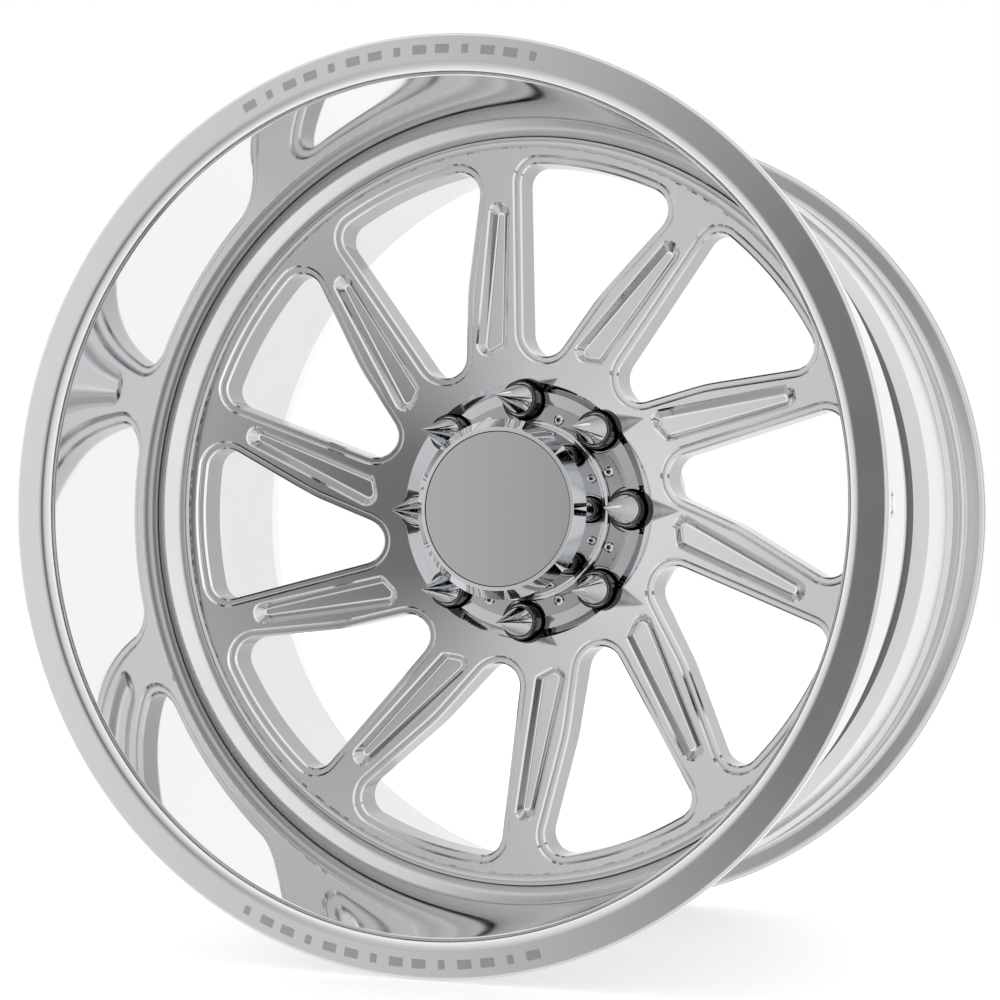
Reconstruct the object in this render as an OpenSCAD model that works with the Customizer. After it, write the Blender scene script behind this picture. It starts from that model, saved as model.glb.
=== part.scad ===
// Forged deep-dish truck wheel, two-piece: a forged centre welded into a spun barrel.
// The origin is the centre of the hub bore at the mounting face. +Y points out of the back of the wheel,
// towards the vehicle, +Z is up, and +X is to the right when the wheel is seen from the front.
// Every module below is drawn with the wheel's axis along Z, front upwards, and as_fitted() turns it.

/* [Rim] */
// Diameter of the bead seats, which is the wheel's nominal size
bead_d = 609.6; // [560:0.1:660]
// Width between the two flanges, at the bead seats
bead_width = 355.6; // [330:0.1:360]
// Distance from the middle of the rim to the mounting face, negative for a deep dish
wheel_offset = -76; // [-80:1:-60]
// Height of a flange above its bead seat
flange_h = 17.5; // [16:0.1:19]
// Thickness of a flange
flange_t = 15.2; // [13:0.1:17]
// Inner radius of the polished lip
lip_inner_r = 294.9; // [293:0.1:296]

/* [Wheel centre] */
// Outer radius of the wheel centre, where it fits the barrel
center_r = 282.9; // [280:0.1:284]
// Height of the spoke face above the mounting face, at the edge of the hub recess
face_z = 68.7; // [66:0.1:72]
// Rise of the conical spoke face for each millimetre of radius
face_slope = 0.183; // [0.15:0.001:0.2]
// Thickness of the spokes
spoke_t = 28; // [22:1:32]
// Number of windows, and of spokes
windows = 10; // [10]
// Depth of the tapered pocket in each spoke
pocket_depth = 6; // [2:0.5:9]
// Depth of the step round each window
step_depth = 2.5; // [1:0.5:5]
// Width of the step round each window
step_w = 5; // [2:0.5:6]
// Radius of the hub bore
hub_bore_r = 62.6; // [55:0.1:64]
// Radius of the mounting pad
pad_r = 110; // [105:1:112]
// Radius of the round recess at the hub
recess_r = 98.6; // [96:0.1:101]
// Height of the recess floor above the mounting face
recess_z = 62.5; // [58:0.5:64]

/* [Lugs] */
// Number of lug holes
lugs = 8; // [8]
// Diameter of the lug circle
lug_pcd = 170; // [165.1:0.1:170]
// Radius of the lug holes at the mounting face
lug_hole_r = 8.3; // [8:0.1:8.5]
// Radius of the pocket that each lug nut goes down
lug_pocket_r = 15.5; // [14.5:0.1:16]
// Height of the narrow end of the conical lug seats
lug_seat_z = 16; // [12:1:20]
// Width across the flats of the lug nuts
nut_flats = 22; // [19:1:22]
// Height of the spike tips above the mounting face
spike_tip_z = 127.3; // [110:0.1:130]

/* [Centre cap] */
// Outer radius of the bolted flange
cap_flange_r = 83; // [80:0.5:86]
// Thickness of the bolted flange
cap_flange_t = 4; // [3:0.5:6]
// Outer radius of the cap's tower
cap_tower_r = 67; // [60:0.5:67.5]
// Height of the front of the cap above the mounting face
cap_front_z = 124; // [100:1:130]
// Radius of the brushed disc in the front of the cap
cap_disc_r = 57.7; // [50:0.1:58]
// Radius of the circle of cap screws
cap_screw_circle_r = 74.5; // [72:0.5:76]

/* [Valve] */
// Height of the valve above the mounting face
valve_z = 165; // [160:1:180]
// Radius of the hole for the valve
valve_hole_r = 5.7; // [5.6:0.1:5.8]

/* [Hidden] */
$fn = 96;

bead_r = bead_d / 2;
flange_r = bead_r + flange_h;
middle_z = -wheel_offset;
front_z = middle_z + bead_width / 2 + flange_t;
back_z = middle_z - bead_width / 2 - flange_t;
front_bead_z = front_z - flange_t;
back_bead_z = back_z + flange_t;
lug_circle_r = lug_pcd / 2;
// Centre cap
screw_r = 2.5;
screw_hole_r = 2.55;
screw_depth = 16;
hub_relief_r = hub_bore_r + 1.4;
hub_relief_z = 40;
spigot_r = hub_relief_r - 0.4;
cap_flange_z = recess_z + cap_flange_t;
disc_t = 4;
seal_t = 1.2;

// Lugs, from the seat to the spike
seat_half_angle = 30;
washer_gap = 0.6;
washer_bottom_z = lug_seat_z + washer_gap + 1;
washer_top_z = washer_bottom_z + 16;
washer_r = 13.6;
shank_r = 7.6;
washer_bore_r = 7.66;
nut_bottom_z = washer_top_z + 0.3;
nut_top_z = 71;
neck_r = 5.9;
thread_r = 6.25;
collar_r = 14.2;
collar_bore_r = 13.1;
collar_bottom_z = 58;
collar_top_z = 77.5;
spike_base_r = 11.6;
spike_base_z = 79;
// The cap's flange curves round each lug nut with this radius
scallop_r = 17.2;

// Valve, measured along its axis from the inside of the lip's wall towards the hub
valve_wall_t = 3.5;
grommet_t = 2;
neck_fit_r = 5.05;
stem_neck_r = 5;
stem_thread_r = 3.85;
stem_top = 18;
valve_nut_t = 4.5;
valve_cap_base = 9;
valve_cap_top = 21;
core_bore_r = 2;
core_r = 1.9;
pin_r = 0.55;

// A round surface in a through hole passes both faces by this much
pass = 1;
polished = [0.82, 0.83, 0.85];
satin = [0.70, 0.71, 0.73];
chrome = [0.75, 0.76, 0.78];
black = [0.12, 0.12, 0.12];
brass = [0.80, 0.65, 0.35];

// Corners of the window just right of the top spoke: x, y and the radius that rounds the corner
WINDOW = [[8.9, 262.4, 14.5], [71.3, 256.3, 262], [136.8, 225.1, 16], [65.7, 161.5, 160], [-1.4, 83.9, 17.9]];
// Corners of the pocket in the top spoke: x, y and the radius that rounds the corner
POCKET = [[-17.3, 233.3, 7], [-2.2, 233.3, 7], [-12, 126.7, 4], [-38.3, 113, 8]];

// ---- outlines ----

function unit(v) = v / norm(v);

// +1 where a clockwise outline turns outwards at q, and -1 where it turns inwards
function turn(p, q, s) = sign((s - q)[0] * (q - p)[1] - (s - q)[1] * (q - p)[0]);

// Points that round the corner q, between its neighbours p and s, with radius r
function round_corner(p, q, s, r, steps) =
    r == 0 ? [q] :
    let (
        to_p = unit(p - q),
        to_s = unit(s - q),
        half = acos(to_p * to_s) / 2,
        tangent = r / tan(half),
        centre = q + unit(to_p + to_s) * r / sin(half),
        first = q + to_p * tangent - centre,
        last = q + to_s * tangent - centre,
        a = atan2(first[1], first[0]),
        sweep = (atan2(last[1], last[0]) - a + 540) % 360 - 180
    )
    [for (i = [0 : steps]) centre + r * [cos(a + sweep * i / steps), sin(a + sweep * i / steps)]];

function xy(c) = [c[0], c[1]];

// The outline whose corners are [x, y, radius]
function rounded(corners, steps = 6) =
    let (n = len(corners))
    [for (i = [0 : n - 1])
        each round_corner(xy(corners[(i + n - 1) % n]), xy(corners[i]), xy(corners[(i + 1) % n]),
            corners[i][2], steps)];

// The same clockwise corners with every side moved outwards by d
function grown(corners, d) =
    let (n = len(corners))
    [for (i = [0 : n - 1])
        let (
            p = xy(corners[(i + n - 1) % n]),
            q = xy(corners[i]),
            s = xy(corners[(i + 1) % n]),
            to_p = unit(p - q),
            to_s = unit(s - q),
            out = turn(p, q, s),
            moved = q - unit(to_p + to_s) * out * d / sin(acos(to_p * to_s) / 2)
        )
        [moved[0], moved[1], corners[i][2] + out * d]];

// Height of the spoke face at radius r
function face_height(r) = face_z + face_slope * (r - recess_r);

// ---- placing ----

module as_fitted() {
    rotate([90, 0, 0]) children();
}

module at_lug(i) {
    as_fitted() rotate([0, 0, 45 * (i - 1)]) translate([lug_circle_r, 0, 0]) children();
}

// Puts something drawn along +Z from the wall of the lip onto the valve's axis, pointing to the hub
module at_valve() {
    as_fitted() translate([lip_inner_r, 0, valve_z]) rotate([0, -90, 0]) children();
}

module tube(outer_r, inner_r, z0, z1) {
    translate([0, 0, z0]) difference() {
        cylinder(r = outer_r, h = z1 - z0);
        translate([0, 0, -pass]) cylinder(r = inner_r, h = z1 - z0 + 2 * pass);
    }
}

// ---- rim ----

module barrel_profile() {
    polygon(rounded([
        // outside, from the front flange to the back one
        [flange_r, front_z, 2.5],
        [flange_r, front_bead_z + 1.5, 5],
        [bead_r, front_bead_z, 6],
        [bead_r - 1.9, front_bead_z - 22, 2],
        [bead_r + 1.2, front_bead_z - 28, 3],
        [bead_r - 2.8, front_bead_z - 34, 3],
        [bead_r - 2.8, 112, 9],
        [289.5, 88, 8],
        [289.5, 34, 1.5],
        [292, 31, 1.5],
        [299.7, 8, 4],
        [bead_r - 1.8, back_bead_z + 52, 3],
        [bead_r + 0.8, back_bead_z + 44, 3],
        [bead_r - 1.8, back_bead_z + 36, 2],
        [bead_r, back_bead_z, 6],
        [flange_r, back_bead_z - 1.5, 5],
        [flange_r, back_z, 5],
        // inside, from the back flange to the lip
        [307.5, back_z, 4],
        [296.5, back_z + 32, 12],
        [293.5, 2, 6],
        [283, 34, 8],
        [283, 93, 4],
        [lip_inner_r, 106, 5],
        [lip_inner_r, front_z, 9]
    ]));
}

module rim_barrel() {
    color(polished) difference() {
        as_fitted() rotate_extrude($fn = 180) barrel_profile();
        at_valve() {
            translate([0, 0, -20]) cylinder(r = valve_hole_r, h = 40);
            // spot faces for the grommets, through the inside and the outside of the wall
            translate([0, 0, -0.5]) cylinder(r = 11, h = 10);
            translate([0, 0, -20]) cylinder(r = 11, h = 20 - valve_wall_t);
        }
    }
}

// ---- wheel centre ----

module center_profile() {
    polygon(rounded([
        [hub_bore_r, 0, 0],
        [pad_r, 0, 2],
        [pad_r + 6, 38, 10],
        [152, face_height(152) - spoke_t, 20],
        [center_r, face_height(center_r) - spoke_t, 0],
        [center_r, face_height(center_r), 9],
        [recess_r, face_z, 0],
        [recess_r - 6.4, recess_z, 0],
        [hub_relief_r, recess_z, 0],
        [hub_relief_r, hub_relief_z, 0],
        [hub_bore_r, hub_relief_z, 0]
    ]));
}

// Everything above the spoke face sunk by depth
module above_face(depth) {
    rotate_extrude() polygon([
        [recess_r + 5, face_height(recess_r + 5) - depth],
        [center_r, face_height(center_r) - depth],
        [center_r, face_height(center_r) + 10],
        [recess_r + 5, face_height(center_r) + 10]
    ]);
}

module window_cut() {
    translate([0, 0, 20]) linear_extrude(100) polygon(rounded(WINDOW));
}

module step_cut() {
    intersection() {
        translate([0, 0, 40]) linear_extrude(80) polygon(rounded(grown(WINDOW, step_w)));
        above_face(step_depth);
    }
}

module pocket_cut() {
    intersection() {
        translate([0, 0, 40]) linear_extrude(80) polygon(rounded(POCKET));
        above_face(pocket_depth);
    }
}

module lug_pocket_cut() {
    seat_rise = (lug_pocket_r - lug_hole_r) / tan(seat_half_angle);
    rotate_extrude() polygon([
        [0, -pass],
        [lug_hole_r, -pass],
        [lug_hole_r, lug_seat_z],
        [lug_pocket_r, lug_seat_z + seat_rise],
        [lug_pocket_r, face_z + 20],
        [0, face_z + 20]
    ]);
}

module wheel_center() {
    color(satin) as_fitted() difference() {
        rotate_extrude($fn = 180) center_profile();
        for (k = [0 : windows - 1]) rotate([0, 0, 360 / windows * k]) {
            window_cut();
            step_cut();
            pocket_cut();
        }
        for (k = [0 : lugs - 1]) {
            rotate([0, 0, 45 * k]) translate([lug_circle_r, 0, 0]) lug_pocket_cut();
            rotate([0, 0, 45 * k + 22.5]) translate([cap_screw_circle_r, 0, recess_z - screw_depth])
                cylinder(r = screw_hole_r, h = screw_depth + pass);
        }
    }
}

module weld_bead() {
    back = face_height(center_r) - spoke_t;
    color(satin) as_fitted() rotate_extrude($fn = 180)
        polygon([
            [center_r, back - 0.05],
            [center_r, back - 7],
            [center_r - 3, back - 5],
            [center_r - 6.5, back - 1.5]
        ]);
}

// ---- centre cap ----

module cap_flange() {
    color(chrome) as_fitted() difference() {
        rotate_extrude() polygon([
            [spigot_r - 4, recess_z - 10],
            [spigot_r, recess_z - 10],
            [spigot_r, recess_z],
            [cap_flange_r, recess_z],
            [cap_flange_r, cap_flange_z - 0.8],
            [cap_flange_r - 0.8, cap_flange_z],
            [spigot_r - 4, cap_flange_z]
        ]);
        for (k = [0 : lugs - 1]) {
            rotate([0, 0, 45 * k]) translate([lug_circle_r, 0, recess_z - pass])
                cylinder(r = scallop_r, h = cap_flange_t + 2 * pass);
            rotate([0, 0, 45 * k + 22.5]) translate([cap_screw_circle_r, 0, recess_z - pass])
                cylinder(r = screw_hole_r, h = cap_flange_t + 2 * pass);
        }
    }
}

module cap_tower() {
    inner_r = cap_tower_r - 5;
    foot_z = cap_flange_z + seal_t;
    color(chrome) as_fitted() rotate_extrude($fn = 128) polygon(rounded([
        [cap_tower_r + 3, foot_z, 0],
        [cap_tower_r + 2.6, foot_z + 2.4, 0.8],
        [cap_tower_r, foot_z + 3.4, 0.8],
        [cap_tower_r, cap_front_z - 10, 0],
        [cap_tower_r + 1, cap_front_z - 9, 0],
        [cap_disc_r + 3.1, cap_front_z, 0.8],
        [cap_disc_r + 0.5, cap_front_z, 0],
        [cap_disc_r + 0.5, cap_front_z - disc_t - 1.2, 0],
        [cap_disc_r - 4, cap_front_z - disc_t - 1.2, 0],
        [cap_disc_r - 4, cap_front_z - disc_t - 5, 0],
        [inner_r, cap_front_z - disc_t - 9, 0],
        [inner_r, foot_z, 0]
    ], 3));
}

module cap_face_disc() {
    color(satin) as_fitted() rotate_extrude($fn = 128) polygon([
        [0, cap_front_z - disc_t],
        [cap_disc_r, cap_front_z - disc_t],
        [cap_disc_r, cap_front_z - 0.9],
        [cap_disc_r - 0.5, cap_front_z - 0.4],
        [0, cap_front_z - 0.4]
    ]);
}

module cap_disc_seal() {
    seal_top = cap_front_z - disc_t - 0.05;
    color(black) as_fitted() tube(cap_disc_r, cap_disc_r - 3, seal_top - 1.1, seal_top);
}

module cap_base_seal() {
    color(black) as_fitted()
        tube(cap_tower_r + 2.6, cap_tower_r - 3, cap_flange_z + 0.05, cap_flange_z + seal_t - 0.05);
}

module cap_screw() {
    // a button head with a hexagon socket, on a shank that reaches into the wheel centre
    head_r = 4.2;
    head_z = cap_flange_t + 0.05;
    difference() {
        union() {
            translate([0, 0, 1.5 - screw_depth]) cylinder(r = screw_r, h = screw_depth + cap_flange_t);
            rotate_extrude() polygon([
                [0, head_z],
                [head_r, head_z],
                [head_r, head_z + 0.4],
                for (a = [15 : 15 : 75]) [head_r * cos(a), head_z + 0.4 + 2.1 * sin(a)],
                [0, head_z + 2.5]
            ]);
        }
        translate([0, 0, head_z + 1]) cylinder(d = 3 / cos(30), h = 3, $fn = 6);
    }
}

module cap_screws() {
    color(chrome) as_fitted() for (k = [0 : lugs - 1])
        rotate([0, 0, 45 * k + 22.5]) translate([cap_screw_circle_r, 0, recess_z]) cap_screw();
}

// ---- lugs, each on its own axis ----

module lug_washer(i) {
    // the cone of the seat in the wheel, moved up by washer_gap
    tip_r = lug_hole_r + (washer_bottom_z - lug_seat_z - washer_gap) * tan(seat_half_angle);
    rim_z = washer_bottom_z + (washer_r - tip_r) / tan(seat_half_angle);
    color(chrome) at_lug(i) difference() {
        rotate_extrude() polygon([
            [washer_bore_r - 2, washer_bottom_z],
            [tip_r, washer_bottom_z],
            [washer_r, rim_z],
            [washer_r, washer_top_z - 1],
            [washer_r - 1, washer_top_z],
            [washer_bore_r - 2, washer_top_z]
        ]);
        translate([0, 0, washer_bottom_z - pass]) cylinder(r = washer_bore_r, h = 20);
    }
}

module lug_nut(i) {
    corner_r = nut_flats / 2 / cos(30);
    color(chrome) at_lug(i) difference() {
        union() {
            intersection() {
                translate([0, 0, nut_bottom_z])
                    cylinder(r = corner_r, h = nut_top_z - nut_bottom_z, $fn = 6);
                rotate_extrude() polygon([
                    [0, nut_bottom_z], [nut_flats / 2, nut_bottom_z], [corner_r + 0.5, nut_bottom_z + 1.5],
                    [corner_r + 0.5, nut_top_z - 1.5], [nut_flats / 2, nut_top_z], [0, nut_top_z]
                ]);
            }
            translate([0, 0, washer_bottom_z + 2]) cylinder(r = shank_r, h = 20);
            translate([0, 0, nut_top_z - 1]) cylinder(r = neck_r, h = 6.5);
        }
        translate([0, 0, washer_bottom_z]) cylinder(r = thread_r, h = 42);
    }
}

module lug_spike(i) {
    // a collar that goes down round the nut, a groove, and the cone
    color(chrome) at_lug(i) difference() {
        rotate_extrude() polygon(rounded([
            [0, nut_top_z + 0.05, 0],
            [collar_bore_r, nut_top_z + 0.05, 0],
            [collar_bore_r, collar_bottom_z, 0],
            [collar_r, collar_bottom_z, 0],
            [collar_r, collar_top_z, 0.5],
            [collar_r - 1.1, collar_top_z, 0.5],
            [collar_r - 1.1, spike_base_z - 5.8, 0],
            [spike_base_r, spike_base_z - 5.8, 0],
            [spike_base_r, spike_base_z, 3],
            [spike_base_r * 0.62, spike_base_z + 17, 60],
            [0, spike_tip_z, 0]
        ], 4));
        translate([0, 0, nut_top_z - pass]) cylinder(r = neck_r + 0.1, h = 6.8);
    }
}

// ---- valve: along +Z from the inside of the lip's wall towards the hub ----

module valve_stem() {
    // the head lies in the tyre's air chamber, and the threaded neck carries the nut and the cap
    head_top = -valve_wall_t - grommet_t - 0.05;
    color(brass) at_valve() difference() {
        rotate_extrude($fn = 48) polygon([
            [0, head_top - 5],
            [7, head_top - 5],
            [9, head_top - 3.5],
            [9, head_top],
            [stem_neck_r, head_top],
            [stem_neck_r, valve_cap_base - 1],
            [stem_thread_r, valve_cap_base],
            [stem_thread_r, stem_top],
            [0, stem_top]
        ]);
        translate([0, 0, -20]) cylinder(r = 1.2, h = 50, $fn = 32);
        translate([0, 0, stem_top - 22]) cylinder(r = core_bore_r, h = 30, $fn = 32);
    }
}

module valve_inner_grommet() {
    color(black) at_valve() tube(9, neck_fit_r, -valve_wall_t - grommet_t, -valve_wall_t - 0.05);
}

module valve_outer_grommet() {
    color(black) at_valve() tube(9, neck_fit_r, -0.45, grommet_t - 0.5);
}

module valve_washer() {
    color(chrome) at_valve() tube(9.5, neck_fit_r, grommet_t - 0.45, grommet_t + 0.8);
}

module valve_nut() {
    color(chrome) at_valve() difference() {
        translate([0, 0, grommet_t + 0.85]) cylinder(r = 7 / cos(30), h = valve_nut_t, $fn = 6);
        cylinder(r = neck_fit_r, h = 20);
    }
}

module valve_core_body() {
    // a barrel screwed into the stem, with a chamber for the spring and a nose that the button seals
    color(brass) at_valve() difference() {
        union() {
            translate([0, 0, stem_top - 13]) cylinder(r = core_r, h = 11, $fn = 32);
            translate([0, 0, stem_top - 17]) cylinder(r = 1.6, h = 5, $fn = 32);
        }
        translate([0, 0, stem_top - 20]) cylinder(r = pin_r + 0.05, h = 30, $fn = 32);
        translate([0, 0, stem_top - 11]) cylinder(r = 1.3, h = 7.5, $fn = 32);
    }
}

module valve_core_pin() {
    // a stem with a sealing button below and a collar that the spring lifts
    color(brass) at_valve() {
        translate([0, 0, stem_top - 20]) cylinder(r = pin_r, h = 19, $fn = 32);
        translate([0, 0, stem_top - 19.4]) cylinder(r = 1.5, h = 2, $fn = 32);
        translate([0, 0, stem_top - 5.4]) cylinder(r = 1.1, h = 0.8, $fn = 32);
    }
}

module valve_core_spring() {
    // wire swept along a helix, ring by ring
    coil_r = 0.9;
    wire_r = 0.18;
    turns = 5;
    rings = 12 * turns;
    sides = 6;
    rise = 4.7;
    points = [
        for (k = [0 : rings], t = [0 : sides - 1])
            let (a = 360 * turns * k / rings, b = 360 * t / sides, r = coil_r + wire_r * cos(b))
            [r * cos(a), r * sin(a), rise * k / rings + wire_r * sin(b)]
    ];
    walls = [
        for (k = [0 : rings - 1], t = [0 : sides - 1])
            let (u = (t + 1) % sides)
            [k * sides + t, k * sides + u, (k + 1) * sides + u, (k + 1) * sides + t]
    ];
    ends = [[for (t = [sides - 1 : -1 : 0]) t], [for (t = [0 : sides - 1]) rings * sides + t]];
    color(chrome) at_valve() translate([0, 0, stem_top - 10.6]) polyhedron(points, concat(walls, ends));
}

module valve_cap() {
    // flutes round the skirt give a grip
    skirt_r = 5.2;
    color(chrome) at_valve() difference() {
        rotate_extrude($fn = 48) polygon([
            [0, valve_cap_base + 0.3],
            [skirt_r - 0.4, valve_cap_base + 0.3],
            [skirt_r, valve_cap_base + 0.8],
            [skirt_r, valve_cap_top - 2.5],
            [skirt_r - 1.2, valve_cap_top - 0.4],
            [0, valve_cap_top]
        ]);
        translate([0, 0, valve_cap_base - pass])
            cylinder(r = stem_thread_r + 0.08, h = pass + 10.5, $fn = 48);
        for (k = [0 : 11]) rotate([0, 0, 30 * k]) translate([skirt_r + 0.5, 0, valve_cap_base - pass])
            cylinder(r = 1, h = 9, $fn = 24);
    }
}

module valve_cap_seal() {
    color(black) at_valve() tube(3.4, 1.3, stem_top + 0.3, stem_top + 1.2);
}

rim_barrel();
wheel_center();
weld_bead();
cap_flange();
cap_tower();
cap_face_disc();
cap_disc_seal();
cap_base_seal();
cap_screws();
valve_stem();
valve_inner_grommet();
valve_outer_grommet();
valve_washer();
valve_nut();
valve_core_body();
valve_core_pin();
valve_core_spring();
valve_cap();
valve_cap_seal();
for (i = [1 : lugs]) {
    lug_washer(i);
    lug_nut(i);
    lug_spike(i);
}
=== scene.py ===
import math

import bpy
import numpy as np
from mathutils import Matrix, Vector
from mathutils.geometry import delaunay_2d_cdt


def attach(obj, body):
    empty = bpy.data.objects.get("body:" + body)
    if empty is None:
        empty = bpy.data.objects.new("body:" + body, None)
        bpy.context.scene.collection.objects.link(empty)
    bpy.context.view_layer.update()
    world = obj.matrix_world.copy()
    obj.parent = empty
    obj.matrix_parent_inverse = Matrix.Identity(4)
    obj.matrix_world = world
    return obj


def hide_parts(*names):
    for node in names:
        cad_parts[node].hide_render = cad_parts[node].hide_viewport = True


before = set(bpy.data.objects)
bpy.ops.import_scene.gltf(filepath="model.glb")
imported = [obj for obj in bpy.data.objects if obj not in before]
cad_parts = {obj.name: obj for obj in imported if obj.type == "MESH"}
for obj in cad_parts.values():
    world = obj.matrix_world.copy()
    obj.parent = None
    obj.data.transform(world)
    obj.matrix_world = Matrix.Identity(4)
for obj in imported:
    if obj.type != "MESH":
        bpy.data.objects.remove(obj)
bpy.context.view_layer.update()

# Lengths are in millimetres and each piece is drawn with its own axis along Z, front upwards.
# MM and FITTED take a piece to metres and to the frame, where the wheel's axis is along Y.
MM = 0.001
FITTED = Matrix.Rotation(math.pi / 2, 4, "X") @ Matrix.Scale(MM, 4)

# ---- sizes, the same as the CAD part's ----

FLANGE_R = 322.3
BEAD_R = 304.8
FRONT_Z = 269.0
BACK_Z = -117.0
FRONT_BEAD_Z = 253.8
BACK_BEAD_Z = -101.8
LIP_R = 294.9

CENTER_R = 282.9
FACE_Z = 68.7
FACE_SLOPE = 0.183
SPOKE_T = 28.0
WINDOWS = 10
POCKET_DEPTH = 6.0
STEP_DEPTH = 2.5
STEP_W = 5.0
BORE_R = 62.6
PAD_R = 110.0
RECESS_R = 98.6
RECESS_Z = 62.5
RELIEF_R = 64.0
RELIEF_Z = 40.0

LUGS = 8
LUG_CIRCLE_R = 85.0
LUG_HOLE_R = 8.3
LUG_POCKET_R = 15.5
LUG_SEAT_Z = 16.0

FLANGE_OF_CAP_R = 83.0
CAP_FLANGE_Z = 66.5
SCALLOP_R = 17.2
TOWER_R = 67.0
CAP_FRONT_Z = 124.0
DISC_R = 57.7
SCREW_CIRCLE_R = 74.5

VALVE_Z = 165.0
VALVE_WALL_T = 3.5

# The corners of the window right of the top spoke and of the top spoke's pocket: x, y, radius
WINDOW = [(8.9, 262.4, 14.5), (71.3, 256.3, 262), (136.8, 225.1, 16), (65.7, 161.5, 160), (-1.4, 83.9, 17.9)]
POCKET = [(-17.3, 233.3, 7), (-2.2, 233.3, 7), (-12, 126.7, 4), (-38.3, 113, 8)]
# How far each side of the pocket's floor lies inside its mouth, side i starting at corner i
POCKET_SLOPES = [7.0, 4.5, 4.0, 5.5]


# ---- outlines ----


def unit(v):
    return v / np.linalg.norm(v)


def unit_rows(v):
    return v / np.linalg.norm(v, axis=1, keepdims=True)


def left(v):
    return np.stack([-v[..., 1], v[..., 0]], axis=-1)


def turned(v, angle):
    c, s = math.cos(angle), math.sin(angle)
    return np.array([c * v[0] - s * v[1], s * v[0] + c * v[1]])


def trace(corners, steps=6, closed=True):
    """Points along an outline of (x, y, radius) corners, and the directions of travel before and after."""
    count = len(corners)
    points, before, after = [], [], []
    for i, (x, y, radius) in enumerate(corners):
        q = np.array([x, y], float)
        into = unit(q - np.array(corners[i - 1][:2], float))
        out = unit(np.array(corners[(i + 1) % count][:2], float) - q)
        if not closed and i == 0:
            into = out
        if not closed and i == count - 1:
            out = into
        turn = math.atan2(into[0] * out[1] - into[1] * out[0], into @ out)
        if radius == 0 or abs(turn) < 1e-9:
            points.append(q)
            before.append(into)
            after.append(out)
            continue
        side = radius * math.copysign(1, turn)
        centre = q - into * radius * abs(math.tan(turn / 2)) + side * left(into)
        for k in range(steps + 1):
            way = turned(into, turn * k / steps)
            points.append(centre - side * left(way))
            before.append(way)
            after.append(way)
    return np.array(points), np.array(before), np.array(after)


def is_clockwise(points):
    x, y = points[:, 0], points[:, 1]
    return (x * np.roll(y, -1) - np.roll(x, -1) * y).sum() < 0


def grown(corners, by, radii=None):
    """The corners with side i moved outwards by by[i], or every side by the one number."""
    count = len(corners)
    points = np.array([c[:2] for c in corners], float)
    out = 1 if is_clockwise(points) else -1
    steps = [by] * count if np.isscalar(by) else by
    ways = [unit(points[(i + 1) % count] - points[i]) for i in range(count)]
    made = []
    for i in range(count):
        a, b = ways[i - 1], ways[i]
        start_a = points[i] + out * left(a) * steps[i - 1]
        start_b = points[i] + out * left(b) * steps[i]
        cross = a[0] * b[1] - a[1] * b[0]
        gap = start_b - start_a
        corner = start_a + a * (gap[0] * b[1] - gap[1] * b[0]) / cross
        convex = -out * cross > 0
        radius = corners[i][2] + (steps[i] if convex else -steps[i]) if radii is None else radii[i]
        made.append((corner[0], corner[1], radius))
    return made


def wall_normals(corners, steps):
    """Level normals that point into the space inside the clockwise outline."""
    _, before, after = trace(corners, steps)
    return at_height(unit_rows(-left(before + after)), 0.0)


def spun(points, angle):
    c, s = math.cos(angle), math.sin(angle)
    return points @ np.array([[c, s], [-s, c]])


def circle(radius, count, centre=(0, 0)):
    a = np.arange(count) * math.tau / count
    return np.stack([np.cos(a), np.sin(a)], axis=1) * radius + np.array(centre)


def at_height(flat, z):
    """Points in the plane, or triangles of them, at one height or at a height each."""
    return np.concatenate([flat, np.broadcast_to(z, flat.shape[:-1])[..., None]], axis=-1)


# ---- surfaces ----


def quads_between(a, b):
    """Quads between two closed rows of as many points."""
    return np.stack([a, np.roll(a, -1, axis=0), np.roll(b, -1, axis=0), b], axis=1)


def grid_normals(rows):
    """The smooth normals of closed rows of points."""
    around_way = np.roll(rows, -1, axis=1) - np.roll(rows, 1, axis=1)
    normals = np.cross(around_way, np.gradient(rows, axis=0))
    return normals / np.maximum(np.linalg.norm(normals, axis=2, keepdims=True), 1e-9)


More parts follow.
